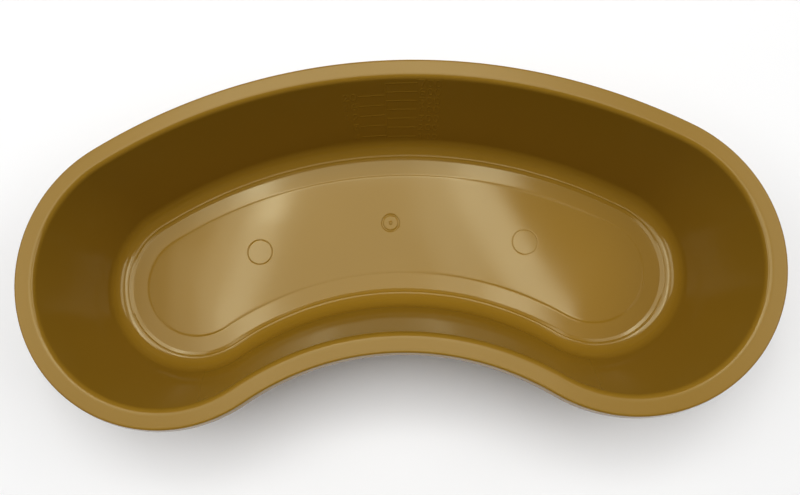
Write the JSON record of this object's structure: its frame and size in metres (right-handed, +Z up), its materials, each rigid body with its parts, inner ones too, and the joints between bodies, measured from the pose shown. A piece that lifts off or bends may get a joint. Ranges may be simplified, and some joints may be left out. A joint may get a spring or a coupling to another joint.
{
  "type": "kidney dish",
  "caption": "Kidney-shaped hospital basin in gold plastic with sloping walls, a turned-down rim, a foot ring and a moulded filling scale inside its back wall.",
  "frame": {"origin": "on the table, under the middle of the dish's bounding box", "axes": "+X along the dish, +Y towards its long convex back, +Z up out of the dish"},
  "size_m": [0.2538, 0.1222, 0.049],
  "materials": {
    "dish": "semi-gloss moulded polypropylene, opaque gold brown"
  },
  "bodies": {
    "root": {"dish": "dish"}
  },
  "joints": []
}
